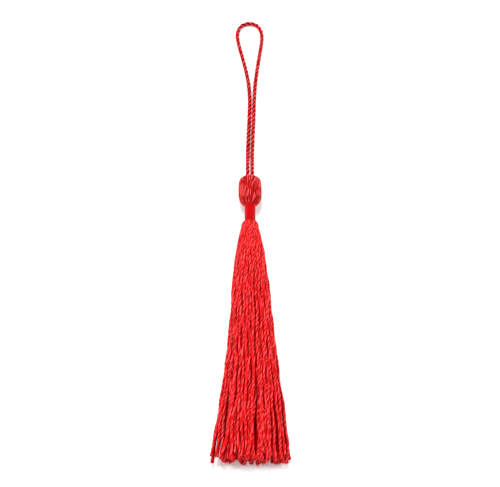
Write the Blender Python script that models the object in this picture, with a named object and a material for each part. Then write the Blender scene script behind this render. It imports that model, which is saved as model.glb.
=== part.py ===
# A silk tassel with a hanging loop, lying on its side on a flat surface.
# One bundle of floss is folded over the loop, bound tightly at the neck and left to spread as a skirt.
# Lengths are in millimetres, and MM turns them into metres. The tassel lies along Y, its head towards +Y.

import math
from collections import namedtuple

import bmesh
import bpy
import numpy as np
from mathutils import Vector
from mathutils.geometry import delaunay_2d_cdt, interpolate_bezier

MM = 0.001

# Driving sizes of the floss bundle
TASSEL_LENGTH = 78.0
HEAD_RADIUS = 3.10
FLAT_SPOT = 0.40            # how far the soft head is pressed flat where it rests
HEAD_RIDGES = 32            # threads that show round the head; as many lie outermost in the skirt
SOCKET_RADIUS = 1.45
SOCKET_DEPTH = 1.0
CORE_RADIUS = 0.8
SHOULDER_RADIUS = 2.32
ROOT_DEPTH = 15.2

HEAD_TOP = TASSEL_LENGTH / 2
AXIS_HEIGHT = HEAD_RADIUS - FLAT_SPOT
SKIRT_LENGTH = TASSEL_LENGTH - ROOT_DEPTH

# The strands of the skirt
STRANDS = 84
STRAND_RADIUS = 0.43        # from the middle of its four-sided section to a corner
STRAND_ROOM = 0.46          # half the distance that two strands keep where there is room
SIDE_TO_RADIUS = math.sqrt(2)
STRAND_SHARE = 0.94         # how much of the way between two strands they may fill
RIM_REACH = 2.00            # the outer strands' roots lie this far from the axis
INNER_REACH = 1.55          # the inner strands' roots lie within this
RIM_WEIGHT = 1.35           # how much thicker the outer strands are at their roots
RIM_FADE = 20.0             # by this far along, all strands are alike
PACKING = 0.76              # how much of a section the strands may fill
LOCKS = 9                   # the strands gather in this many loose locks
LOCK_PULL = 0.05
DRIFT = 0.22                # how far a strand wanders sideways over WANDER_STEP
WANDER_STEP = 10.0
UNEVEN = 2.0                # how far the cut ends differ
STEPS_BETWEEN = 5           # steps from one section of the skirt to the next
SETTLE_ROUNDS = 60
SEED = 17

# The bundle as turned: how far below the head's top, radius over the threads, depth of furrows between them
Ring = namedtuple("Ring", "down radius furrow")
BUNDLE_RINGS = [
    Ring(SOCKET_DEPTH, SOCKET_RADIUS, 0.0),
    Ring(0.10, SOCKET_RADIUS, 0.0),
    Ring(0.0, 1.62, 0.04),
    Ring(0.35, 2.25, 0.10),
    Ring(1.10, 2.78, 0.14),
    Ring(2.20, 3.02, 0.16),
    Ring(3.60, HEAD_RADIUS, 0.16),
    Ring(5.20, 3.06, 0.16),
    Ring(6.60, 2.86, 0.14),
    Ring(7.60, 2.42, 0.12),
    Ring(8.15, 1.75, 0.08),
    Ring(8.30, CORE_RADIUS, 0.0),
    Ring(13.64, CORE_RADIUS, 0.0),
    Ring(13.78, 1.45, 0.05),
    Ring(13.98, 1.90, 0.09),
    Ring(14.40, 2.22, 0.12),
    Ring(ROOT_DEPTH, SHOULDER_RADIUS, 0.12),
]

# The skirt's outline: how far from the roots, half its width, height of its widest line, of its top and
# of its underside, how far it leans to the side, and how square its underside is (2 is a plain ellipse)
Spread = namedtuple("Spread", "along half_width middle top bottom lean square")
SKIRT = [
    Spread(0.0, 2.16, AXIS_HEIGHT, AXIS_HEIGHT + 2.16, AXIS_HEIGHT - 2.16, 0.0, 2.0),
    Spread(2.5, 2.80, 2.50, 5.15, 0.08, 0.0, 2.4),
    Spread(6.0, 3.45, 2.15, 5.35, 0.0, 0.0, 3.0),
    Spread(12.0, 4.20, 1.90, 5.50, 0.0, 0.1, 3.6),
    Spread(20.0, 4.95, 1.70, 5.55, 0.0, 0.2, 4.0),
    Spread(30.0, 5.80, 1.60, 5.55, 0.0, 0.3, 4.0),
    Spread(40.0, 6.90, 1.50, 5.40, 0.0, 0.3, 4.0),
    Spread(51.0, 8.40, 1.40, 5.05, 0.0, 0.2, 4.0),
    Spread(SKIRT_LENGTH, 9.90, 1.30, 4.60, 0.0, 0.0, 4.0),
]

# The thread wound round the neck
BINDING_TOP = 8.6
BINDING_END = 13.4
BINDING_RADIUS = 1.42
BINDING_INNER = 1.1
BINDING_TURNS = 12
BINDING_FURROW = 0.09
BINDING_SIDES = 20

# The hanging loop, a cord of three twisted plies
CORD_HIGH = 0.55            # radius over a ply
CORD_LOW = 0.42             # radius in the furrow between two plies
CORD_LAY = 2.5              # length of one full twist
CORD_SIDES = 6
CURVE_STEPS = 24            # steps along each span of the smooth curve

# Its route from one end in the head's socket, round the loop and back: x, y beyond the head's top, z
CORD_ROUTE = [
    (-0.60, -0.70, 2.70),
    (-0.60, 1.20, 2.70),
    (-0.60, 2.90, 2.54),
    (-0.61, 4.60, 2.00),
    (-0.61, 6.30, 1.28),
    (-0.60, 8.20, 0.74),
    (-0.56, 10.50, 0.57),
    (-0.42, 15.00, 0.57),
    (-0.20, 20.50, 0.57),
    (-0.10, 26.00, 0.57),
    (-0.35, 31.00, 0.57),
    (-1.10, 36.00, 0.57),
    (-2.15, 40.80, 0.57),
    (-3.15, 45.20, 0.57),
    (-3.55, 48.60, 0.57),
    (-2.60, 51.30, 0.57),
    (-0.35, 52.45, 0.57),
    (2.05, 51.55, 0.57),
    (3.25, 48.90, 0.57),
    (3.20, 45.40, 0.57),
    (2.60, 41.00, 0.57),
    (1.95, 36.20, 0.57),
    (1.45, 31.20, 0.57),
    (1.16, 26.00, 0.57),
    (1.02, 20.50, 0.57),
    (0.80, 15.00, 0.57),
    (0.66, 10.50, 0.57),
    (0.61, 8.20, 0.74),
    (0.61, 6.30, 1.28),
    (0.60, 4.60, 2.00),
    (0.60, 2.90, 2.54),
    (0.60, 1.20, 2.70),
    (0.60, -0.70, 2.70),
]

# Silk's crimson for each piece: colour and roughness
SILK = {
    "floss_bundle": ((0.62, 0.018, 0.022, 1.0), 0.38),
    "neck_binding": ((0.70, 0.026, 0.030, 1.0), 0.34),
    "hanging_loop": ((0.50, 0.012, 0.016, 1.0), 0.42),
}


def clear_scene():
    for thing in list(bpy.data.objects):
        bpy.data.objects.remove(thing, do_unlink=True)


def silk(name):
    colour, roughness = SILK[name]
    material = bpy.data.materials.new(name + "_silk")
    material.use_nodes = True
    shader = material.node_tree.nodes["Principled BSDF"]
    shader.inputs["Base Color"].default_value = colour
    shader.inputs["Roughness"].default_value = roughness
    shader.inputs["Metallic"].default_value = 0.0
    return material


def add_object(name, bm, smooth_angle):
    bmesh.ops.recalc_face_normals(bm, faces=bm.faces)
    bmesh.ops.scale(bm, vec=Vector((MM, MM, MM)), verts=bm.verts)
    mesh = bpy.data.meshes.new(name)
    bm.to_mesh(mesh)
    bm.free()
    mesh.shade_smooth()
    mesh.set_sharp_from_angle(angle=math.radians(smooth_angle))
    mesh.materials.append(silk(name))
    thing = bpy.data.objects.new(name, mesh)
    bpy.context.collection.objects.link(thing)
    return thing


def turned_ring(bm, ring, sides, floor=None):
    """A ring of corners round the tassel's axis, every other one sunk into a furrow."""
    corners = []
    for k in range(sides):
        turn = math.tau * k / sides
        radius = ring.radius - ring.furrow * (k % 2)
        height = AXIS_HEIGHT + radius * math.cos(turn)
        if floor is not None:
            height = max(height, floor)
        corners.append(bm.verts.new((radius * math.sin(turn), HEAD_TOP - ring.down, height)))
    return corners


def join_rings(bm, first, second):
    count = len(first)
    for k in range(count):
        after = (k + 1) % count
        bm.faces.new((first[k], first[after], second[after], second[k]))


def hold_inside(points, row, radius):
    """Moves the strands' middles back inside the skirt's outline, and keeps the outer strands on it."""
    across = (points[:, 0] - row.lean) / (row.half_width - radius)
    above = points[:, 1] > row.middle
    rest = radius / SIDE_TO_RADIUS
    reach = np.where(above, row.top - row.middle - radius, row.middle - row.bottom - rest)
    up = (points[:, 1] - row.middle) / reach
    power = np.where(above, 2.0, row.square)
    depth = (np.abs(across) ** power + np.abs(up) ** power) ** (1 / power)
    outer = np.arange(STRANDS) < HEAD_RIDGES
    pull = 1 / np.where(outer, depth, np.maximum(depth, 1))
    return np.stack(
        [row.lean + across * pull * (row.half_width - radius), row.middle + up * pull * reach], axis=1
    )


def settle(points, row, radius):
    """Pushes the strands apart in one section of the skirt until they lie beside each other."""
    for _ in range(SETTLE_ROUNDS):
        away = points[:, None] - points[None]
        distance = np.linalg.norm(away, axis=2) + np.eye(len(points)) * TASSEL_LENGTH
        push = np.clip(2 * radius - distance, 0, None) / (2 * distance)
        points = points + 0.7 * (away * push[..., None]).sum(axis=1)
        points = hold_inside(points, row, min(radius, STRAND_RADIUS))
    return points


def carried_on(points, row, following):
    """The same places in the next section's outline."""
    across = (points[:, 0] - row.lean) / row.half_width
    above = points[:, 1] > row.middle
    reach = np.where(above, row.top - row.middle, row.middle - row.bottom)
    up = (points[:, 1] - row.middle) / reach
    reach_there = np.where(above, following.top - following.middle, following.middle - following.bottom)
    return np.stack(
        [following.lean + across * following.half_width, following.middle + up * reach_there], axis=1
    )


def between(row, following, part):
    """The skirt's outline part of the way from one section to the next."""
    return Spread(*[a + (b - a) * part for a, b in zip(row, following)])


def section_room(row):
    """Half the distance between strands that fills a section."""
    area = row.half_width * math.pi / 2 * (row.top - row.bottom)
    return min(STRAND_ROOM, math.sqrt(PACKING * area / (STRANDS * math.pi)))


def sunflower(count, reach):
    """Evenly spread places in a disc, seen along the tassel's axis."""
    golden = math.pi * (3 - math.sqrt(5))
    order = np.arange(count)
    out = reach * np.sqrt((order + 0.5) / count)
    return np.stack([out * np.cos(order * golden), out * np.sin(order * golden)], axis=1)


def root_places():
    """Where the strands leave the shoulder: one under each of its ridges, the others inside them."""
    turn = math.tau * np.arange(HEAD_RIDGES) / HEAD_RIDGES
    rim = RIM_REACH * np.stack([np.sin(turn), np.cos(turn)], axis=1)
    return np.concatenate([rim, sunflower(STRANDS - HEAD_RIDGES, INNER_REACH)])


def strand_middles(random):
    """Where each strand passes each section of the skirt, as x and z."""
    points = root_places()
    locks = sunflower(LOCKS, SHOULDER_RADIUS)
    lock = np.linalg.norm(points[:, None] - locks[None], axis=2).argmin(axis=1)
    wander = random.normal(size=(STRANDS, 2))
    points = points + [SKIRT[0].lean, SKIRT[0].middle]
    sections = [points]
    for row, following in zip(SKIRT, SKIRT[1:]):
        wander = 0.6 * wander + 0.8 * random.normal(size=(STRANDS, 2))
        for part in range(STEPS_BETWEEN):
            here = between(row, following, part / STEPS_BETWEEN)
            there = between(row, following, (part + 1) / STEPS_BETWEEN)
            step = (there.along - here.along) / WANDER_STEP
            points = carried_on(points, here, there) + DRIFT * step * wander
            for number in range(LOCKS):
                members = lock == number
                points[members] += LOCK_PULL * step * (points[members].mean(axis=0) - points[members])
            points = settle(points, there, section_room(there))
        sections.append(points)
    return np.array(sections)


def strand_radii(sections):
    """Each strand's radius at each section, so that no two strands meet on the way between sections."""
    radii = np.full(sections.shape[:2], STRAND_RADIUS)
    for k in range(len(sections) - 1):
        for part in np.linspace(0, 1, 9):
            points = sections[k] * (1 - part) + sections[k + 1] * part
            distance = np.linalg.norm(points[:, None] - points[None], axis=2)
            distance += np.eye(len(points)) * TASSEL_LENGTH
            for section in (k, k + 1):
                near_root = max(0.0, 1 - SKIRT[section].along / RIM_FADE)
                weight = 1 + (RIM_WEIGHT - 1) * near_root * (np.arange(STRANDS) < HEAD_RIDGES)
                share = weight[:, None] / (weight[:, None] + weight[None])
                room = (STRAND_SHARE * share * distance).min(axis=1)
                radii[section] = np.minimum(radii[section], room)
    return radii


def rest_level(sections, radii):
    """Lays the lowest strands with their flat undersides on the floor."""
    half_side = radii / SIDE_TO_RADIUS
    for k, row in enumerate(SKIRT):
        if row.bottom == 0:
            low = sections[k, :, 1] < radii[k]
            sections[k, low, 1] = half_side[k, low]
    return sections


def centred(sections):
    """Leans the skirt so that its cut end is in the middle of the part."""
    middle = (sections[-1, :, 0].min() + sections[-1, :, 0].max()) / 2
    for k, row in enumerate(SKIRT):
        sections[k, :, 0] -= middle * row.along / SKIRT_LENGTH
    return sections


def strand_corners(middle, radius, turn):
    corners = []
    for k in range(4):
        angle = turn + math.pi / 4 + k * math.pi / 2
        corners.append((middle[0] + radius * math.cos(angle), max(0.0, middle[1] + radius * math.sin(angle))))
    return corners


def root_face(bm, rim, roots):
    """Closes the shoulder's end round the strands' roots, and returns each root's four corners."""
    flat = [Vector((v.co.x, v.co.z)) for v in rim]
    outlines = [list(reversed(range(len(rim))))]
    for corners in roots:
        outlines.append(list(range(len(flat), len(flat) + 4)))
        flat += [Vector(c) for c in corners]
    spots, _, faces, sources, _, owners = delaunay_2d_cdt(flat, [], outlines, 1, 1e-6)
    corner = {}
    for spot, source in zip(spots, sources):
        if source[0] < len(rim):
            corner[source[0]] = rim[source[0]]
        else:
            corner[source[0]] = bm.verts.new((spot.x, HEAD_TOP - ROOT_DEPTH, spot.y))
    place = [source[0] for source in sources]
    for face, owner in zip(faces, owners):
        if owner == [0]:
            bm.faces.new([corner[place[v]] for v in face])
    return [[corner[v] for v in outline] for outline in outlines[1:]]


def add_strands(bm, rim):
    random = np.random.default_rng(SEED)
    sections = strand_middles(random)
    sections = centred(sections)
    radii = strand_radii(sections)
    sections = rest_level(sections, radii)
    lifted = ((sections[:, :, 1] - radii) > 0.02).all(axis=0)
    turns = np.where(lifted, random.uniform(0, math.pi / 2, STRANDS), 0.0)
    short = UNEVEN * random.uniform(0, 1, STRANDS) ** 2
    short -= short.min()
    roots = [strand_corners(*root) for root in zip(sections[0], radii[0], turns)]
    for i, loop in enumerate(root_face(bm, rim, roots)):
        for k in range(1, len(SKIRT)):
            along = SKIRT[k].along
            middle, radius = sections[k, i], radii[k, i]
            if k == len(SKIRT) - 1:
                part = 1 - short[i] / (along - SKIRT[k - 1].along)
                middle = sections[k - 1, i] + part * (middle - sections[k - 1, i])
                radius = radii[k - 1, i] + part * (radius - radii[k - 1, i])
                along -= short[i]
            y = HEAD_TOP - ROOT_DEPTH - along
            corners = strand_corners(middle, radius, turns[i])
            following = [bm.verts.new((x, y, z)) for x, z in corners]
            join_rings(bm, loop, following)
            loop = following
        bm.faces.new(loop)


def make_bundle():
    """Head, core of the neck and skirt: one bundle of floss, its strands fused at the shoulder."""
    bm = bmesh.new()
    sides = 2 * HEAD_RIDGES
    rings = [turned_ring(bm, ring, sides, floor=0.0) for ring in BUNDLE_RINGS]
    bm.faces.new(rings[0])
    for first, second in zip(rings, rings[1:]):
        join_rings(bm, first, second)
    add_strands(bm, rings[-1])
    return add_object("floss_bundle", bm, 50)


def make_binding():
    """The thread wound round the neck, a furrow between one turn and the next."""
    bm = bmesh.new()
    rings = [Ring(BINDING_TOP, BINDING_INNER, 0.0)]
    for k in range(2 * BINDING_TURNS + 1):
        down = BINDING_TOP + (BINDING_END - BINDING_TOP) * k / (2 * BINDING_TURNS)
        rings.append(Ring(down, BINDING_RADIUS - BINDING_FURROW * (1 - k % 2), 0.0))
    rings.append(Ring(BINDING_END, BINDING_INNER, 0.0))
    loops = [turned_ring(bm, ring, BINDING_SIDES) for ring in rings]
    for first, second in zip(loops, loops[1:] + loops[:1]):
        join_rings(bm, first, second)
    return add_object("neck_binding", bm, 60)


def smooth_curve(route):
    """Points a short way apart on a smooth curve through the route's own points."""
    ends = [2 * route[0] - route[1]], [2 * route[-1] - route[-2]]
    knots = ends[0] + route + ends[1]
    curve = []
    for before, start, end, after in zip(knots, knots[1:], knots[2:], knots[3:]):
        handle, handle_back = start + (end - before) / 6, end - (after - start) / 6
        curve += interpolate_bezier(start, handle, handle_back, end, CURVE_STEPS)[:-1]
    return curve + [route[-1]]


def even_points(curve, step):
    """Points about one step apart along a curve, its two ends included."""
    travelled = [0.0]
    for start, end in zip(curve, curve[1:]):
        travelled.append(travelled[-1] + (end - start).length)
    count = round(travelled[-1] / step)
    wanted = np.linspace(0, travelled[-1], count + 1)
    axes = [np.interp(wanted, travelled, [p[axis] for p in curve]) for axis in range(3)]
    return [Vector(p) for p in zip(*axes)]


def make_loop():
    """The hanging loop. Its plies stand out from each ring's alternate corners, one corner on at each step."""
    bm = bmesh.new()
    route = [Vector((x, HEAD_TOP + y, z)) for x, y, z in CORD_ROUTE]
    points = even_points(smooth_curve(route), CORD_LAY / CORD_SIDES)
    side = Vector((1, 0, 0))
    rings = []
    for k, point in enumerate(points):
        along = (points[min(k + 1, len(points) - 1)] - points[max(k - 1, 0)]).normalized()
        side = (side - along * side.dot(along)).normalized()
        up = along.cross(side)
        ring = []
        for corner in range(CORD_SIDES):
            angle = math.tau * corner / CORD_SIDES + math.pi / 2
            radius = CORD_HIGH if (corner + k) % 2 == 0 else CORD_LOW
            ring.append(bm.verts.new(point + radius * (math.cos(angle) * side + math.sin(angle) * up)))
        rings.append(ring)
    for first, second in zip(rings, rings[1:]):
        for corner in range(CORD_SIDES):
            after = (corner + 1) % CORD_SIDES
            bm.faces.new((first[corner], first[after], second[after]))
            bm.faces.new((first[corner], second[after], second[corner]))
    bm.faces.new(rings[0])
    bm.faces.new(rings[-1])
    return add_object("hanging_loop", bm, 70)


clear_scene()
make_bundle()
make_binding()
make_loop()
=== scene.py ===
# A crimson silk tassel lying on a pale table: twisted floss, a wound neck and a cord loop.
# Sizes are in millimetres up to the last step of each mesh, where mm makes them metres.

import math

import bpy
import numpy as np
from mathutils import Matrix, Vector
from mathutils.geometry import interpolate_bezier


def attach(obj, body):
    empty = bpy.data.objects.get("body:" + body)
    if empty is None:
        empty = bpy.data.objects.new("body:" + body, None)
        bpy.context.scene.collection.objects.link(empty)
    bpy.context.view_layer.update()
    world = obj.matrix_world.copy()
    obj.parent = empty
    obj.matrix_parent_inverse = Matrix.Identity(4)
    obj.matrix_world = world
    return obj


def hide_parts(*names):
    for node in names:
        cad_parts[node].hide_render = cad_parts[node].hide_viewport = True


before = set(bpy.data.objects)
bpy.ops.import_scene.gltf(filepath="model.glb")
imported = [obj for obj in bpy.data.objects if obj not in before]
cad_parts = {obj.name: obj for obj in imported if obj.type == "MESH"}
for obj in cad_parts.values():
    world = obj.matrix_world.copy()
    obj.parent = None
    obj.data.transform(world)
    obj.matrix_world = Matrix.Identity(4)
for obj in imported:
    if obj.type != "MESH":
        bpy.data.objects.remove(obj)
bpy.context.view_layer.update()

mm = 0.001
headTop = 39.0          # the head's top along Y, and the height of the head's axis
axisHeight = 2.7
xAxis, yAxis, zAxis = np.eye(3)


def srgb(code):
    channels = [int(code[k:k + 2], 16) / 255 for k in (1, 3, 5)]
    return [c / 12.92 if c <= 0.04045 else ((c + 0.055) / 1.055) ** 2.4 for c in channels] + [1.0]


def addNode(tree, kind, inputs=None, **settings):
    node = tree.nodes.new("ShaderNode" + kind)
    for name, value in settings.items():
        setattr(node, name, value)
    for name, value in (inputs or {}).items():
        if isinstance(value, bpy.types.NodeSocket):
            tree.links.new(value, node.inputs[name])
        else:
            node.inputs[name].default_value = value
    return node


def unit(vectors):
    return vectors / np.linalg.norm(vectors, axis=-1, keepdims=True)


def lengthAlong(paths):
    steps = np.linalg.norm(np.diff(paths, axis=1), axis=2)
    return np.concatenate([np.zeros((len(paths), 1)), np.cumsum(steps, axis=1)], axis=1)


def multiply(tree, first, second):
    return addNode(tree, "Math", {0: first, 1: second}, operation="MULTIPLY").outputs[0]


def blend(tree, share, start, end, mode="MIX"):
    mixed = addNode(tree, "Mix", {"Factor": share, "A": start, "B": end}, data_type="RGBA", blend_type=mode)
    return mixed.outputs["Result"]


def noiseAlong(tree, spot, across, along, detail):
    # Noise with this many patches to the millimetre across and along the thread
    placed = addNode(tree, "Mapping", {"Vector": spot, "Scale": (across, along, 1)}).outputs["Vector"]
    return addNode(tree, "TexNoise", {"Vector": placed, "Scale": 1.0, "Detail": detail},
                   noise_dimensions="2D").outputs["Fac"]


def ramp(tree, value, fromMin, fromMax, toMin, toMax, smooth=False):
    kind = "SMOOTHSTEP" if smooth else "LINEAR"
    limits = {"Value": value, "From Min": fromMin, "From Max": fromMax, "To Min": toMin, "To Max": toMax}
    return addNode(tree, "MapRange", limits, interpolation_type=kind).outputs["Result"]


# The camera looks down at the photograph's angle, from in front of the cut end
view = {"elevation": 61.0, "lens": 100.0, "distance": 357.0, "target": (0.0, 19.5, 2.0)}


def placeCamera():
    lift = math.radians(view["elevation"])
    target = Vector(view["target"]) * mm
    away = Vector((0, -math.cos(lift), math.sin(lift))) * view["distance"] * mm
    data = bpy.data.cameras.new("studioCamera")
    data.lens = view["lens"]
    data.clip_start = 0.01
    camera = bpy.data.objects.new("studioCamera", data)
    bpy.context.scene.collection.objects.link(camera)
    camera.location = target + away
    camera.rotation_euler = (-away).to_track_quat("-Z", "Y").to_euler()
    bpy.context.scene.camera = camera


# Silk: bright filaments laid side by side, so the gloss is long across them and tinted by the dye
def silkMaterial(look):
    material = bpy.data.materials.new(look["finish"])
    material.use_nodes = True
    tree = material.node_tree
    shader = tree.nodes["Principled BSDF"]
    spot = addNode(tree, "UVMap", uv_map="threadUv").outputs["UV"]
    tone = addNode(tree, "Attribute", attribute_name="tone").outputs["Fac"]
    crown = addNode(tree, "Attribute", attribute_name="crown").outputs["Fac"]
    exposed = addNode(tree, "Attribute", attribute_name="exposed").outputs["Fac"]

    # The dye takes a little unevenly along a thread, and each thread has its own tone
    dye = noiseAlong(tree, spot, 0.1, 1 / look["dyeRun"], 1.0)
    part = addNode(tree, "Math", {0: dye, 1: tone}, operation="ADD").outputs[0]
    colour = blend(tree, multiply(tree, part, 0.5), srgb(look["deep"]), srgb(look["bright"]))
    # Filaments are about 0.015 mm thick, and are drawn coarser so that they show
    filaments = noiseAlong(tree, spot, 1 / look["filament"], 1 / look["run"], 2.0)
    lines = ramp(tree, filaments, 0.35, 0.65, look["lineShade"], 1.0)
    colour = blend(tree, 1.0, colour, lines, "MULTIPLY")
    # Painted shade darkens the colour down in the furrows between the plies
    paintedFurrowShade = ramp(tree, crown, 0.4, 0.9, look["furrowShade"], 1.0, smooth=True)
    colour = blend(tree, 1.0, colour, paintedFurrowShade, "MULTIPLY")
    # and painted highlights make it palest where a ply comes outermost, in glints that come and go along the
    # thread
    crest = ramp(tree, crown, 0.7, 1.0, 0.0, 1.0, smooth=True)
    patches = noiseAlong(tree, spot, 0.5, 1 / look["glintRun"], 1.0)
    glints = multiply(tree, crest, ramp(tree, patches, 0.38, 0.62, 0.0, 1.0, smooth=True))
    paintedGlint = multiply(tree, ramp(tree, glints, 0.0, 1.0, look["line"], look["crest"]), exposed)
    colour = blend(tree, paintedGlint, colour, srgb(look["glintColour"]))
    # Painted shade: down between the threads little light gets in
    shade = ramp(tree, exposed, 0.0, 1.0, look["deepShade"], 1.0)
    colour = blend(tree, 1.0, colour, shade, "MULTIPLY")

    bump = addNode(tree, "Bump", {"Height": filaments, "Strength": look["bump"], "Distance": 0.03 * mm})
    around = addNode(tree, "Tangent", direction_type="UV_MAP", uv_map="threadUv")
    tree.links.new(colour, shader.inputs["Base Color"])
    tree.links.new(bump.outputs["Normal"], shader.inputs["Normal"])
    tree.links.new(around.outputs["Tangent"], shader.inputs["Tangent"])
    shader.inputs["Roughness"].default_value = look["roughness"]
    shader.inputs["IOR"].default_value = 1.54
    shader.inputs["Specular IOR Level"].default_value = look["gloss"]
    shader.inputs["Specular Tint"].default_value = srgb("#FF5E60")
    shader.inputs["Anisotropic"].default_value = 0.5
    return material


def throughPoints(knots, steps):
    # A smooth curve through each thread's own points: threads x points x 3, at the given steps along
    along = lengthAlong(knots).mean(axis=0)
    slope = np.gradient(knots, along, axis=1)
    span = np.clip(np.searchsorted(along, steps * along[-1], side="right") - 1, 0, len(along) - 2)
    width = (along[span + 1] - along[span])[None, :, None]
    part = ((steps * along[-1] - along[span]) / (along[span + 1] - along[span]))[None, :, None]
    start, end = knots[:, span], knots[:, span + 1]
    leave, arrive = slope[:, span] * width, slope[:, span + 1] * width
    return (start * (2 * part ** 3 - 3 * part ** 2 + 1) + leave * (part ** 3 - 2 * part ** 2 + part)
            + end * (3 * part ** 2 - 2 * part ** 3) + arrive * (part ** 3 - part ** 2))


def smoothStep(part):
    part = np.clip(part, 0, 1)
    return part * part * (3 - 2 * part)


# How unlike the threads' lays are, how fast a lay changes per millimetre, and how out of step they are
laySpread, layRate, layShift = 5, 0.75, 3


def plainThread(corners):
    # One round strand without a twist, in place of plies
    return {"plies": 1, "lay": 1e6, "uneven": 0.0, "offset": 0.0, "thick": 1.0, "corners": corners}


def twistedPlies(paths, sides, radii, twist, phase, opening=1.0):
    # The rings of every ply: threads x plies x points x corners x 3
    travelled = lengthAlong(paths)
    forward = unit(np.gradient(paths, axis=1))
    side = unit(sides - forward * (sides * forward).sum(axis=2, keepdims=True))
    up = np.cross(forward, side)
    plies = np.arange(twist["plies"]) / twist["plies"]
    # No two threads have quite the same lay, and each is tighter in some places than in others
    lay = twist["lay"] * (1 + twist["uneven"] * np.cos(laySpread * phase))[:, None]
    turns = travelled / lay + twist["uneven"] * np.sin(layRate * travelled + layShift * phase[:, None])
    angle = phase[:, None, None] + math.tau * (plies[None, :, None] + turns[:, None])
    out = (np.cos(angle)[..., None] * side[:, None] + np.sin(angle)[..., None] * up[:, None])
    middles = paths[:, None] + out * (twist["offset"] * opening * radii)[:, None, :, None]
    along = unit(np.gradient(middles, axis=2))
    outward = unit(out - along * (out * along).sum(axis=3, keepdims=True))
    across = np.cross(along, outward)
    corner = math.tau * np.arange(twist["corners"]) / twist["corners"]
    thick = (twist["thick"] * radii)[:, None, :, None, None]
    rings = middles[:, :, :, None] + thick * (np.cos(corner)[:, None] * outward[:, :, :, None]
                                              + np.sin(corner)[:, None] * across[:, :, :, None])
    # Nothing lies lower than the table
    rings[..., 2] = np.maximum(rings[..., 2], 0.0)
    return rings


# The maps: where a thread's column begins in millimetres, a cap's size there, and the bare edges of each
# column and row on the bake map, with the place and size of the caps
mapSizes = {
    "columnWidth": 7.3, "threadCap": 0.2,
    "sideEdge": 0.06, "sideShare": 0.88, "endEdge": 0.03, "endShare": 0.94,
    "capPlace": 0.015, "capSize": (0.4, 0.01),
}


def plyMesh(name, rings, radii, tones, twist, rows, exposed=1.0):
    # One mesh of closed tubes, with a map in millimetres along each ply and one laid out flat for baking
    threads, plies, points, corners, _ = rings.shape
    tubes = threads * plies
    index = np.arange(tubes * points * corners).reshape(tubes, points, corners)
    here, there = index[:, :-1], index[:, 1:]
    quads = np.stack([here, np.roll(here, -1, 2), np.roll(there, -1, 2), there], axis=-1)
    caps = np.concatenate([index[:, 0, ::-1], index[:, -1]])
    faces = quads.reshape(-1, 4).tolist() + caps.tolist()
    mesh = bpy.data.meshes.new(name)
    mesh.from_pydata(rings.reshape(-1, 3) * mm, [], faces)
    piece = bpy.data.objects.new(name, mesh)
    bpy.context.scene.collection.objects.link(piece)

    middles = rings.mean(axis=3).reshape(tubes, points, 3)
    reach = lengthAlong(middles)
    girth = math.tau * twist["thick"] * radii.mean()
    corner = np.arange(corners + 1)
    u = np.broadcast_to(girth * corner / corners, (tubes, points, corners + 1))
    v = np.broadcast_to(reach[:, :, None], u.shape)
    flat = np.stack([u + mapSizes["columnWidth"] * np.arange(tubes)[:, None, None], v], axis=-1)
    around = [(0, 0), (0, 1), (1, 1), (1, 0)]

    def cornersOf(grid):
        picked = [grid[:, a:points - 1 + a, b:corners + b] for a, b in around]
        return np.stack(picked, axis=3)

    threadUv = cornersOf(flat)
    # The bake map: every tube is cut into rows, each a column of its own
    cut = np.minimum((np.arange(points - 1) * rows) // (points - 1), rows - 1)
    first = np.searchsorted(cut, np.arange(rows))
    count = np.bincount(cut, minlength=rows)
    columns = tubes * rows
    column = np.arange(tubes)[:, None] * rows + cut[None]
    low = (np.arange(points - 1) - first[cut]) / count[cut]
    high = (np.arange(points - 1) + 1 - first[cut]) / count[cut]
    edge, share = mapSizes["sideEdge"], mapSizes["sideShare"]
    left = (column[:, :, None] + edge + share * corner[:-1] / corners) / columns
    right = (column[:, :, None] + edge + share * corner[1:] / corners) / columns
    edge, share = mapSizes["endEdge"], mapSizes["endShare"]
    bottom = np.broadcast_to((edge + share * low)[None, :, None], left.shape)
    top = np.broadcast_to((edge + share * high)[None, :, None], left.shape)
    bakeUv = np.stack([np.stack([left, bottom], -1), np.stack([right, bottom], -1),
                       np.stack([right, top], -1), np.stack([left, top], -1)], axis=3)
    ring = np.stack([np.cos(math.tau * corner[:-1] / corners), np.sin(math.tau * corner[:-1] / corners)], -1)
    capWidth, capHeight = mapSizes["capSize"]
    capSize = np.array([capWidth / columns, capHeight])
    low, high = mapSizes["capPlace"], 1 - mapSizes["capPlace"]
    startCaps = np.stack([(np.arange(tubes) * rows + 0.5) / columns, np.full(tubes, low)], -1)
    endCaps = np.stack([(np.arange(tubes) * rows + rows - 0.5) / columns, np.full(tubes, high)], -1)
    capUv = np.concatenate([startCaps[:, None] + capSize * ring[::-1], endCaps[:, None] + capSize * ring])
    threadCap = mapSizes["threadCap"] * ring
    capThread = np.concatenate([flat[:, 0, :1] + threadCap[::-1], flat[:, -1, :1] + threadCap])
    for mapName, tubeUv, endUv in (("threadUv", threadUv, capThread), ("OFBake", bakeUv, capUv)):
        layer = mesh.uv_layers.new(name=mapName)
        spots = np.concatenate([tubeUv.reshape(-1, 2), endUv.reshape(-1, 2)])
        layer.data.foreach_set("uv", spots.astype(np.float32).ravel())

    crown = 0.5 + 0.5 * np.cos(math.tau * np.arange(corners) / corners)
    if plies == 1:
        crown = np.ones(corners)
    for attributeName, values in (("tone", np.repeat(tones, plies * points * corners)),
                                  ("crown", np.tile(crown, tubes * points)),
                                  ("exposed", np.broadcast_to(exposed, rings.shape[:4]).ravel())):
        attribute = mesh.attributes.new(attributeName, "FLOAT", "POINT")
        attribute.data.foreach_set("value", values.astype(np.float32))
    mesh.shade_smooth()
    return piece


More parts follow.
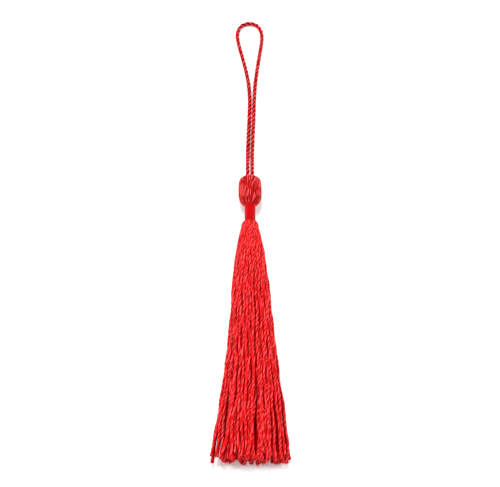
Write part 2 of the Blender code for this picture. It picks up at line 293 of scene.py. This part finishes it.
# The hanging loop
cord = {
    "radius": 0.55,
    "step": 0.16,
    "curveSteps": 24,
    "twist": {"plies": 3, "lay": 4.2, "uneven": 0.02, "offset": 0.58, "thick": 0.45, "corners": 8},
    # x, y beyond the head's top, z
    "route": [
        (-0.60, -0.70, 2.70), (-0.60, 1.20, 2.70), (-0.60, 2.90, 2.54), (-0.61, 4.60, 2.00),
        (-0.61, 6.30, 1.28), (-0.60, 8.20, 0.74), (-0.56, 10.50, 0.57), (-0.42, 15.00, 0.57),
        (-0.20, 20.50, 0.57), (-0.10, 26.00, 0.57), (-0.35, 31.00, 0.57), (-1.10, 36.00, 0.57),
        (-2.15, 40.80, 0.57), (-3.15, 45.20, 0.57), (-3.55, 48.60, 0.57), (-2.60, 51.30, 0.57),
        (-0.35, 52.45, 0.57), (2.05, 51.55, 0.57), (3.25, 48.90, 0.57), (3.20, 45.40, 0.57),
        (2.60, 41.00, 0.57), (1.95, 36.20, 0.57), (1.45, 31.20, 0.57), (1.16, 26.00, 0.57),
        (1.02, 20.50, 0.57), (0.80, 15.00, 0.57), (0.66, 10.50, 0.57), (0.61, 8.20, 0.74),
        (0.61, 6.30, 1.28), (0.60, 4.60, 2.00), (0.60, 2.90, 2.54), (0.60, 1.20, 2.70),
        (0.60, -0.70, 2.70),
    ],
    # Hard-twisted silk cord: painted shade in the furrows between the plies, painted highlights on them, and
    # a crimson a little darker than the floss's, which is painted shade
    "look": {
        "finish": "twistedSilkCord", "deep": "#A00004", "bright": "#D40408", "glintColour": "#FF6062",
        "lineShade": 0.6, "furrowShade": 0.12, "deepShade": 1.0, "line": 0.0, "crest": 0.5,
        "filament": 0.16, "run": 1.3, "dyeRun": 9.0, "glintRun": 1.6,
        "bump": 0.5, "roughness": 0.34, "gloss": 0.15,
    },
}


def makeCord():
    route = [Vector((x, headTop + y, z)) for x, y, z in cord["route"]]
    knots = [2 * route[0] - route[1]] + route + [2 * route[-1] - route[-2]]
    curve = []
    for before, start, end, after in zip(knots, knots[1:], knots[2:], knots[3:]):
        handle, handleBack = start + (end - before) / 6, end - (after - start) / 6
        curve += interpolate_bezier(start, handle, handleBack, end, cord["curveSteps"])[:-1]
    curve = np.array([curve + [route[-1]]], float)
    travelled = lengthAlong(curve)[0]
    wanted = np.linspace(0, travelled[-1], round(travelled[-1] / cord["step"]) + 1)
    path = np.stack([np.interp(wanted, travelled, curve[0, :, axis]) for axis in range(3)], axis=-1)[None]
    radii = np.full(path.shape[:2], cord["radius"])
    rings = twistedPlies(path, np.array([[zAxis]]), radii, cord["twist"], np.zeros(1))
    piece = plyMesh("hanging_cord", rings, radii, np.full(1, 0.5), cord["twist"], 6)
    piece.data.materials.append(silkMaterial(cord["look"]))
    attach(piece, "root")
    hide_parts("hanging_loop")


# The skirt's outline: how far from the roots, half its width, height of its widest line, of its top and
# of its underside, lean to the side, and how square the underside is
skirtOutline = np.array([
    (0.0, 2.16, 2.70, 4.86, 0.54, 0.0, 2.0),
    (2.5, 2.80, 2.50, 5.15, 0.08, 0.0, 2.4),
    (6.0, 3.45, 2.15, 5.35, 0.0, 0.0, 3.0),
    (12.0, 4.20, 1.90, 5.50, 0.0, 0.1, 3.6),
    (20.0, 4.95, 1.70, 5.55, 0.0, 0.2, 4.0),
    (30.0, 5.80, 1.60, 5.55, 0.0, 0.3, 4.0),
    (40.0, 6.90, 1.50, 5.40, 0.0, 0.3, 4.0),
    (51.0, 8.40, 1.40, 5.05, 0.0, 0.2, 4.0),
    (62.8, 9.90, 1.30, 4.60, 0.0, 0.0, 4.0),
])
skirt = {
    "threads": 84,
    "rimThreads": 32,
    "radius": 0.46,
    "strandRadius": 0.43,
    "room": 0.46,
    "rimReach": 2.0,
    "innerReach": 1.55,
    "shoulderReach": 2.32,
    "rimRootRadius": 0.32,
    "rootDepth": 15.2,
    "packing": 0.76,
    "locks": 9,
    "lockPull": 0.05,
    "drift": 0.22,
    "wanderStep": 10.0,
    "wanderKept": (0.6, 0.8),
    "uneven": 2.0,
    "stepsBetween": 5,
    "settleRounds": 60,
    "pushShare": 0.7,
    "outOfReach": 78.0,     # keeps a thread from pushing itself away
    "seed": 17,
    "step": 0.34,
    "shadeDepth": 1.6,
    "sideShade": (0.35, 1.0),
    "wave": 0.14,
    "waveLength": (8, 17),
    "lockDraw": 0.03,
    "lockShift": 0.12,
    "lockMost": 1.6,
    "splay": (0.40, 0.26),
    "splayRun": 8.0,
    "opening": 0.55,
    # Threads that lie across the others: how far below the roots each leaves its row, its place across
    # there, and how far it moves to the side
    "crossings": [(17.0, -1.4, 1.9), (23.0, 2.6, -1.7), (27.0, -3.6, 1.6), (31.0, 0.6, 2.2),
                  (36.0, 4.4, -2.0), (41.0, -1.9, -1.8), (45.0, 1.6, -1.3)],
    "crossingRun": 13.0,
    "crossingLift": 0.50,
    # It comes from this far under the upper face, give or take this much
    "crossingFrom": (1.7, 0.6),
    # How far below the roots the waves, the locks and the outer threads' thickness are full
    "waveGrows": 14,
    "lockGrows": 55,
    "fullFrom": 9,
    # How thick the inner threads are for their room, and the outer ones up in the neck
    "innerFill": 1.12,
    "neckRadii": [(-2.4, 0.17), (-1.2, 0.27)],
    # The cut: how far past the outline the longest thread goes, the last steps of a ply before its end
    # and how thin it is there, over what length the plies open, and the painted light on the cut ends and the
    # length over which it comes in
    "longest": 0.7,
    "endSteps": (0.16, 0.06),
    "endTaper": (0.85, 0.5),
    "openingRun": 2.0,
    "endGlow": 0.6,
    "endGlowRun": 2.0,
    # Above its root a thread comes from under the wound neck: how far down from the head's top, and its
    # distance from the axis on the rim
    "shoulder": [(12.9, 0.98), (13.45, 1.05), (13.72, 1.38), (13.98, 1.74), (14.45, 1.98)],
    "twist": {"plies": 3, "lay": 6.0, "uneven": 0.16, "offset": 0.36, "thick": 0.66, "corners": 6},
    # Loosely twisted silk floss: a crimson that is nearly even, with many short painted glints and painted
    # shade in the furrows and between the threads
    "look": {
        "finish": "twistedSilkFloss", "deep": "#AC0004", "bright": "#E80408", "glintColour": "#FF5C5E",
        "lineShade": 0.5, "furrowShade": 0.76, "deepShade": 0.68, "line": 0.07, "crest": 0.82,
        "filament": 0.16, "run": 1.3, "dyeRun": 12.0, "glintRun": 1.5,
        "bump": 0.5, "roughness": 0.34, "gloss": 0.06,
    },
}


def sunflower(count, reach):
    golden = math.pi * (3 - math.sqrt(5))
    order = np.arange(count)
    out = reach * np.sqrt((order + 0.5) / count)
    return np.stack([out * np.cos(order * golden), out * np.sin(order * golden)], axis=1)


def holdInside(points, row, radius):
    _, halfWidth, middle, top, bottom, lean, square = row
    across = (points[:, 0] - lean) / (halfWidth - radius)
    above = points[:, 1] > middle
    reach = np.where(above, top - middle - radius, middle - bottom - radius / math.sqrt(2))
    up = (points[:, 1] - middle) / reach
    power = np.where(above, 2.0, square)
    depth = (np.abs(across) ** power + np.abs(up) ** power) ** (1 / power)
    onRim = np.arange(len(points)) < skirt["rimThreads"]
    pull = 1 / np.where(onRim, depth, np.maximum(depth, 1))
    return np.stack([lean + across * pull * (halfWidth - radius), middle + up * pull * reach], axis=1)


def settle(points, row, radius):
    for _ in range(skirt["settleRounds"]):
        away = points[:, None] - points[None]
        distance = np.linalg.norm(away, axis=2) + np.eye(len(points)) * skirt["outOfReach"]
        push = np.clip(2 * radius - distance, 0, None) / (2 * distance)
        points = points + skirt["pushShare"] * (away * push[..., None]).sum(axis=1)
        points = holdInside(points, row, min(radius, skirt["strandRadius"]))
    return points


def carriedOn(points, row, following):
    _, halfWidth, middle, top, bottom, lean, _ = row
    _, halfWidthThere, middleThere, topThere, bottomThere, leanThere, _ = following
    across = (points[:, 0] - lean) / halfWidth
    above = points[:, 1] > middle
    up = (points[:, 1] - middle) / np.where(above, top - middle, middle - bottom)
    reachThere = np.where(above, topThere - middleThere, middleThere - bottomThere)
    return np.stack([leanThere + across * halfWidthThere, middleThere + up * reachThere], axis=1)


def packedRadius(row):
    area = row[1] * math.pi / 2 * (row[3] - row[4])
    return min(skirt["room"], math.sqrt(skirt["packing"] * area / (skirt["threads"] * math.pi)))


def layOutThreads(random):
    # Where each thread passes each section of the skirt: the same places as in the solids
    threads, rim = skirt["threads"], skirt["rimThreads"]
    turn = math.tau * np.arange(rim) / rim
    onRim = skirt["rimReach"] * np.stack([np.sin(turn), np.cos(turn)], axis=1)
    points = np.concatenate([onRim, sunflower(threads - rim, skirt["innerReach"])])
    locks = sunflower(skirt["locks"], skirt["shoulderReach"])
    lock = np.linalg.norm(points[:, None] - locks[None], axis=2).argmin(axis=1)
    wander = random.normal(size=(threads, 2))
    points = points + [0.0, axisHeight]
    sections = [points]
    kept, fresh = skirt["wanderKept"]
    for row, following in zip(skirtOutline, skirtOutline[1:]):
        wander = kept * wander + fresh * random.normal(size=(threads, 2))
        for part in range(skirt["stepsBetween"]):
            here = row + (following - row) * part / skirt["stepsBetween"]
            there = row + (following - row) * (part + 1) / skirt["stepsBetween"]
            step = (there[0] - here[0]) / skirt["wanderStep"]
            points = carriedOn(points, here, there) + skirt["drift"] * step * wander
            for number in range(skirt["locks"]):
                members = lock == number
                points[members] += skirt["lockPull"] * step * (points[members].mean(axis=0) - points[members])
            points = settle(points, there, packedRadius(there))
        sections.append(points)
    sections = np.array(sections)
    middle = (sections[-1, :, 0].min() + sections[-1, :, 0].max()) / 2
    sections[:, :, 0] -= middle * skirtOutline[:, None, 0] / skirtOutline[-1, 0]
    return sections, lock


def skirtTop(fromRoot, x):
    # The height of the bundle's upper face
    halfWidth, middle, top, lean = (np.interp(fromRoot, skirtOutline[:, 0], skirtOutline[:, column])
                                    for column in (1, 2, 3, 5))
    return middle + (top - middle) * np.sqrt(np.clip(1 - ((x - lean) / halfWidth) ** 2, 0, 1))


def exposedShare(rings, paths, radii):
    # The share of painted light: 1 along the outermost line of each outer thread, falling to 0 (full painted
    # shade) on its sides and down in the bundle.
    # The cut ends get painted light too
    x, y, z = np.moveaxis(rings, -1, 0)
    fromRoot = headTop - skirt["rootDepth"] - y
    halfWidth, middle, top, bottom, lean = (
        np.interp(fromRoot, skirtOutline[:, 0], skirtOutline[:, column]) for column in (1, 2, 3, 4, 5))
    reach = np.where(z > middle, top - middle, middle - bottom)
    across, up = (x - lean) / halfWidth, (z - middle) / reach
    # Near the middle, where this would be nothing, it only has to stay above it
    out = np.maximum(np.hypot(across, up), 0.05)
    depth = np.hypot(x - lean, z - middle) * (1 - out) / out
    facing = unit(np.stack([across / halfWidth, up / reach], axis=-1))
    outwards = rings - paths[:, None, :, None]
    onThread = outwards[..., 0] * facing[..., 0] + outwards[..., 2] * facing[..., 1]
    onThread = onThread / radii[:, None, :, None]
    low, high = skirt["sideShade"]
    run = skirt["endGlowRun"]
    atEnd = np.clip((fromRoot - skirtOutline[-1, 0] + run) / run, 0, 1)
    share = smoothStep((onThread - low) / (high - low)) * (1 - smoothStep(depth / skirt["shadeDepth"]))
    return np.maximum(share, skirt["endGlow"] * atEnd)


def loosen(paths, radii, lock, fromRoot, random):
    # Waves of each thread's own, locks that draw together, a few threads across the rest, and parted ends
    threads = len(paths)
    travelled = lengthAlong(paths)
    waves = random.uniform(0, math.tau, (threads, 2))
    waveLength = random.uniform(*skirt["waveLength"], (threads, 2))
    size = np.clip(fromRoot / skirt["waveGrows"], 0, 1) * skirt["wave"]
    paths[:, :, 0] += size * np.sin(waves[:, :1] + math.tau * travelled / waveLength[:, :1])
    paths[:, :, 2] += size * np.sin(waves[:, 1:] + math.tau * travelled / waveLength[:, 1:])

    most = skirt["lockMost"]
    shifts = np.clip(random.normal(size=skirt["locks"]), -most, most) * skirt["lockShift"]
    for number, shift in enumerate(shifts):
        members = lock == number
        grown = smoothStep(fromRoot[members] / skirt["lockGrows"])
        middle = paths[members].mean(axis=0)
        paths[members] += skirt["lockDraw"] * grown[..., None] * (middle - paths[members]) * (1, 0, 1)
        paths[members, :, 0] += shift * grown

    depth, slack = skirt["crossingFrom"]
    for start, across, shift in skirt["crossings"]:
        level = np.abs(fromRoot[0] - start).argmin()
        x, z = paths[:, level, 0], paths[:, level, 2]
        under = np.abs(skirtTop(start, x) - depth - z) < slack
        chosen = np.where(under, np.abs(x - across), np.inf).argmin()
        passed = smoothStep((fromRoot[chosen] - start) / skirt["crossingRun"])
        paths[chosen, :, 0] += shift * passed
        over = skirtTop(fromRoot[chosen], paths[chosen, :, 0]) - radii[chosen] + skirt["crossingLift"]
        paths[chosen, :, 2] += passed * (over - paths[chosen, :, 2])

    splay = random.normal(size=(threads, 2)) * skirt["splay"]
    loose = np.clip(1 - (travelled[:, -1:] - travelled) / skirt["splayRun"], 0, 1) ** 2
    paths[:, :, 0] += loose * splay[:, :1]
    paths[:, :, 2] += loose * splay[:, 1:]
    paths[:, :, 2] = np.maximum(paths[:, :, 2], radii)


def makeSkirt():
    random = np.random.default_rng(skirt["seed"])
    sections, lock = layOutThreads(random)
    threads = skirt["threads"]
    short = skirt["uneven"] * random.uniform(0, 1, threads) ** 2 - skirt["longest"]
    phase = random.uniform(0, math.tau, threads)
    tones = random.uniform(0, 1, threads)

    # The knots of every thread, from under the neck to its cut end
    root = sections[0] - [0.0, axisHeight]
    share = np.linalg.norm(root, axis=1) / skirt["rimReach"]
    direction = unit(root)
    knots = []
    for down, reach in skirt["shoulder"]:
        x, z = (direction * (reach * share)[:, None]).T
        knots.append(np.stack([x, np.full(threads, headTop - down), axisHeight + z], axis=1))
    for row, places in zip(skirtOutline, sections):
        y = np.full(threads, headTop - skirt["rootDepth"] - row[0])
        knots.append(np.stack([places[:, 0], y, places[:, 1]], axis=1))
    knots = np.stack(knots, axis=1)
    last, before = knots[:, -1], knots[:, -2]
    stepBack = (last - before) / np.abs(last[:, 1:2] - before[:, 1:2])
    knots[:, -1] = last - stepBack * short[:, None]

    reach = lengthAlong(knots).mean(axis=0)[-1]
    count = round(reach / skirt["step"])
    beforeLast, last = skirt["endSteps"]
    steps = np.concatenate([np.linspace(0, 1 - beforeLast / reach, count), [1 - last / reach, 1.0]])
    paths = throughPoints(knots, steps)

    # Radii: threads are squeezed at the neck and full from a little way down the skirt
    rim = np.arange(threads) < skirt["rimThreads"]
    fromRoot = np.clip(headTop - skirt["rootDepth"] - paths[:, :, 1], -3, None)
    grown = np.clip(fromRoot / skirt["fullFrom"], 0, 1)
    packed = np.interp(fromRoot, skirtOutline[:, 0], [packedRadius(row) for row in skirtOutline])
    squeezed = np.array(skirt["neckRadii"] + [(0, skirt["rimRootRadius"])])
    rootRadius = np.interp(fromRoot, squeezed[:, 0], squeezed[:, 1])
    rimRadii = rootRadius + (skirt["radius"] - rootRadius) * grown
    innerRadii = np.minimum(packed * skirt["innerFill"], skirt["radius"])
    radii = np.where(rim[:, None], rimRadii, innerRadii)

    loosen(paths, radii, lock, fromRoot, random)
    travelled = lengthAlong(paths)
    toEnd = (travelled[:, -1:] - travelled) / skirt["openingRun"]
    opening = 1 + skirt["opening"] * np.clip(1 - toEnd, 0, 1) ** 2
    tip = np.ones(len(steps))
    tip[-2:] = skirt["endTaper"]
    sides = np.stack([direction[:, 1], np.zeros(threads), -direction[:, 0]], axis=1)[:, None]
    rings = twistedPlies(paths, sides, radii, skirt["twist"], phase, opening)
    middles = rings.mean(axis=3, keepdims=True)
    rings = middles + (rings - middles) * tip[None, None, :, None, None]

    material = silkMaterial(skirt["look"])
    order = np.argsort(paths[:, :, 2].mean(axis=1))
    third = threads // 3
    for name, chosen in (("skirt_threads_under", order[:third]),
                         ("skirt_threads_middle", order[third:2 * third]),
                         ("skirt_threads_over", order[2 * third:])):
        piece = plyMesh(name, rings[chosen], radii[chosen], tones[chosen], skirt["twist"], 1,
                        exposedShare(rings[chosen], paths[chosen], radii[chosen]))
        piece.data.materials.append(material)
        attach(piece, "root")
        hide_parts("floss_bundle")
    makeWisps(middles[:, :, :, 0].reshape(-1, len(steps), 3), material)


# Filaments that the cut leaves standing out of the plies, and a few that have come away from the threads
wisps = {
    "perPly": 2,
    "seed": 23,
    "steps": 5,
    "rootShare": 0.2,       # this share of it lies back inside the ply
    "curl": 1.5,
    "straySteps": 60,
    "length": (0.2, 0.6),
    "spread": 0.35,
    "twist": plainThread(3),
    "tipRadius": 0.05,
    "strayRadius": 0.05,
    # Each stray's points: how far below the roots, across, and above the bundle's upper face
    "strays": [
        [(27.0, -6.4, -0.3), (30.5, -6.6, 0.5), (34.5, -5.9, 1.0),
         (38.5, -4.8, 0.8), (42.0, -4.0, 0.3), (44.0, -3.8, -0.1)],
        [(33.0, 4.6, -0.2), (35.5, 5.0, 0.5), (38.5, 5.8, 0.7),
         (42.0, 6.9, 0.5), (45.0, 7.6, 0.0), (47.0, 7.7, -0.4)],
        [(8.0, 1.5, -0.2), (11.0, 1.9, 0.4), (15.0, 2.5, 0.5),
         (19.0, 2.8, 0.3), (22.0, 2.6, 0.1), (24.0, 2.4, -0.2)],
        [(52.0, -2.0, -0.2), (54.5, -1.4, 0.5), (57.5, -0.3, 0.8),
         (60.5, 0.7, 0.5), (63.0, 1.2, 0.0), (64.5, 1.3, -0.6)],
    ],
}


def makeWisps(plies, material):
    random = np.random.default_rng(wisps["seed"])
    tips = np.repeat(plies[:, -1], wisps["perPly"], axis=0)
    forward = np.repeat(unit(plies[:, -1] - plies[:, -6]), wisps["perPly"], axis=0)
    aside = wisps["spread"] * random.normal(size=forward.shape)
    length = random.uniform(*wisps["length"], len(tips))[:, None, None]
    part = np.linspace(0, 1, wisps["steps"])[None, :, None]
    paths = tips[:, None] + length * (forward[:, None] * (part - wisps["rootShare"])
                                      + aside[:, None] * part ** wisps["curl"])
    radii = wisps["tipRadius"] * np.broadcast_to(1 - 0.5 * part[..., 0], paths.shape[:2])
    paths[..., 2] = np.maximum(paths[..., 2], radii)
    sides = np.broadcast_to(xAxis, (len(tips), 1, 3))
    rings = twistedPlies(paths, sides, radii, wisps["twist"], np.zeros(len(tips)))
    tufts = plyMesh("frayed_ends", rings, radii, random.uniform(0.5, 1, len(tips)), wisps["twist"], 1)

    knots = np.array(wisps["strays"])
    down, across, above = knots[..., 0], knots[..., 1], knots[..., 2]
    knots = np.stack([across, headTop - skirt["rootDepth"] - down, skirtTop(down, across) + above], axis=-1)
    paths = throughPoints(knots, np.linspace(0, 1, wisps["straySteps"]))
    radii = np.full(paths.shape[:2], wisps["strayRadius"])
    paths[..., 2] = np.maximum(paths[..., 2], radii)
    sides = np.broadcast_to(xAxis, (len(knots), 1, 3))
    rings = twistedPlies(paths, sides, radii, wisps["twist"], np.zeros(len(knots)))
    strays = plyMesh("stray_filaments", rings, radii, np.ones(len(knots)), wisps["twist"], 1)
    for piece in (tufts, strays):
        piece.data.materials.append(material)
        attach(piece, "root")
        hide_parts("floss_bundle")


# The head: the fold of the bundle
head = {
    "threads": 32,
    "radius": 0.37,
    "crowding": 0.60,
    "step": 0.22,
    "twist": {"plies": 3, "lay": 12.0, "uneven": 0.09, "offset": 0.28, "thick": 0.74, "corners": 6},
    # How far down from the top, and the radius over the threads
    "profile": [(1.0, 0.95), (0.32, 1.05), (-0.02, 1.45), (0.35, 2.25), (1.10, 2.78), (2.20, 3.02),
                (3.60, 3.10), (5.20, 3.06), (6.60, 2.86), (7.60, 2.42), (8.15, 1.75), (8.45, 1.20),
                (9.3, 1.12)],
    "foldDepth": 0.5,       # down to here the threads lie flat over the fold
    "seed": 5,
    # The floss inside the fold: how far it lies inside the profile, and how far at least from its top,
    # from its axis and from the table
    "coreInset": 0.45,
    "coreLeast": 0.3,
    "coreCorners": 40,
    "sideShade": (0.3, 1.0),
    # The same floss pulled tight over the fold: long painted glints, and painted shade in dark lines between
    # the threads
    "look": {
        "finish": "foldedSilkFloss", "deep": "#900003", "bright": "#F00408", "glintColour": "#FF6466",
        "lineShade": 0.4, "furrowShade": 0.5, "deepShade": 0.15, "line": 0.03, "crest": 0.95,
        "filament": 0.16, "run": 1.3, "dyeRun": 12.0, "glintRun": 4.0,
        "bump": 0.5, "roughness": 0.32, "gloss": 0.08,
    },
}


def makeHead():
    random = np.random.default_rng(head["seed"])
    count = head["threads"]
    profile = np.array(head["profile"])
    turn = math.tau * np.arange(count) / count
    out = np.stack([np.sin(turn), np.zeros(count), np.cos(turn)], axis=1)
    down, reachOut = profile.T
    pitch = math.tau * reachOut / count
    thick = np.minimum(head["radius"], head["crowding"] * pitch)
    knots = out[:, None] * (reachOut - thick)[None, :, None]
    knots[:, :, 1] = headTop - down - np.where(down < head["foldDepth"], thick, 0)
    knots[:, :, 2] += axisHeight
    reach = lengthAlong(knots).mean(axis=0)
    steps = np.linspace(0, 1, round(reach[-1] / head["step"]))
    paths = throughPoints(knots, steps)
    radii = np.broadcast_to(np.interp(steps * reach[-1], reach, thick), paths.shape[:2])
    sides = np.stack([out[:, 2], np.zeros(count), -out[:, 0]], axis=1)[:, None]
    rings = twistedPlies(paths, sides, radii, head["twist"], random.uniform(0, math.tau, count))
    # The share of painted light: full on the outermost line of each thread, painted shade on its sides
    outwards = rings - paths[:, None, :, None]
    along = unit(np.gradient(paths, axis=1))[:, None, :, None]
    facing = np.cross(along, sides[:, None, :, None])
    onThread = (outwards * facing).sum(axis=-1) / radii[:, None, :, None]
    low, high = head["sideShade"]
    exposed = smoothStep((onThread - low) / (high - low))
    piece = plyMesh("head_threads", rings, radii, random.uniform(0, 1, count), head["twist"], 1, exposed)
    material = silkMaterial(head["look"])
    piece.data.materials.append(material)
    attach(piece, "root")
    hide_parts("floss_bundle")

    # The floss inside the fold, seen only between the outer threads
    inset, least = head["coreInset"], head["coreLeast"]
    core = np.array([(max(down, least), max(radius - inset, least)) for down, radius in profile[1:]])
    path = np.stack([np.zeros(len(core)), headTop - core[:, 0], np.full(len(core), axisHeight)], axis=1)[None]
    tube = plainThread(head["coreCorners"])
    coreRings = twistedPlies(path, np.array([[xAxis]]), core[None, :, 1], tube, np.zeros(1))
    coreRings[..., 2] = np.maximum(coreRings[..., 2], least)
    inner = plyMesh("head_core", coreRings, core[None, :, 1], np.zeros(1), tube, 1)
    inner.data.materials.append(material)
    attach(inner, "root")
    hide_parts("floss_bundle")


# The neck: fine thread wound close
neck = {
    "top": 8.35, "end": 13.62, "radius": 1.42, "pitch": 0.24, "thread": 0.135, "turnSteps": 36,
    "twist": plainThread(7),
    # Fine silk thread wound close: a deeper, duller crimson with a soft gloss across the turns
    "look": {
        "finish": "woundSilkThread", "deep": "#980006", "bright": "#C8060C", "glintColour": "#FF5254",
        "lineShade": 0.7, "furrowShade": 1.0, "deepShade": 1.0, "line": 0.0, "crest": 0.0,
        "filament": 0.12, "run": 1.0, "dyeRun": 8.0, "glintRun": 1.6,
        "bump": 0.4, "roughness": 0.4, "gloss": 0.2,
    },
}


def makeNeck():
    turns = (neck["end"] - neck["top"]) / neck["pitch"]
    part = np.linspace(0, 1, round(turns * neck["turnSteps"]))
    turn = math.tau * turns * part
    reach = neck["radius"] - neck["thread"]
    path = np.stack([reach * np.sin(turn), headTop - neck["top"] - (neck["end"] - neck["top"]) * part,
                     axisHeight + reach * np.cos(turn)], axis=1)[None]
    radii = np.full(path.shape[:2], neck["thread"])
    rings = twistedPlies(path, np.array([[yAxis]]), radii, neck["twist"], np.zeros(1))
    piece = plyMesh("neck_wrap", rings, radii, np.full(1, 0.5), neck["twist"], 8)
    piece.data.materials.append(silkMaterial(neck["look"]))
    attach(piece, "root")
    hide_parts("neck_binding")


def makeStudio():
    bpy.ops.object.select_all(action="DESELECT")
    bpy.ops.mesh.primitive_plane_add(size=3.0, location=(0, 0, 0))
    floor = bpy.context.object
    floor.name = "paleTable"
    material = bpy.data.materials.new("mattePaper")
    material.use_nodes = True
    shader = material.node_tree.nodes["Principled BSDF"]
    shader.inputs["Base Color"].default_value = srgb("#E8E6E6")
    shader.inputs["Roughness"].default_value = 0.8
    shader.inputs["Specular IOR Level"].default_value = 0.1
    floor.data.materials.append(material)
    for name, spot, size, power in (("topLight", (-0.06, 0.42, 0.70), 0.18, 6.0),
                                    ("leftLight", (-0.62, 0.10, 0.42), 0.30, 5.0),
                                    ("rightLight", (0.62, 0.10, 0.42), 0.30, 4.0),
                                    ("frontLight", (0.06, -0.65, 0.40), 0.50, 4.0)):
        data = bpy.data.lights.new(name, "AREA")
        data.size = size
        data.energy = power
        lamp = bpy.data.objects.new(name, data)
        bpy.context.scene.collection.objects.link(lamp)
        lamp.location = spot
        lamp.rotation_euler = (Vector((0, 0.02, 0)) - Vector(spot)).to_track_quat("-Z", "Y").to_euler()
    world = bpy.data.worlds.new("softRoom")
    bpy.context.scene.world = world
    world.use_nodes = True
    world.node_tree.nodes["Background"].inputs["Color"].default_value = srgb("#FFFFFF")
    world.node_tree.nodes["Background"].inputs["Strength"].default_value = 0.32
    bpy.context.scene.view_settings.view_transform = "Standard"


placeCamera()
print("camera placed")
makeCord()
print("hanging cord laid")
makeHead()
print("head folded")
makeNeck()
print("neck wound")
makeSkirt()
print("skirt threads laid")
makeStudio()
print("studio lit")
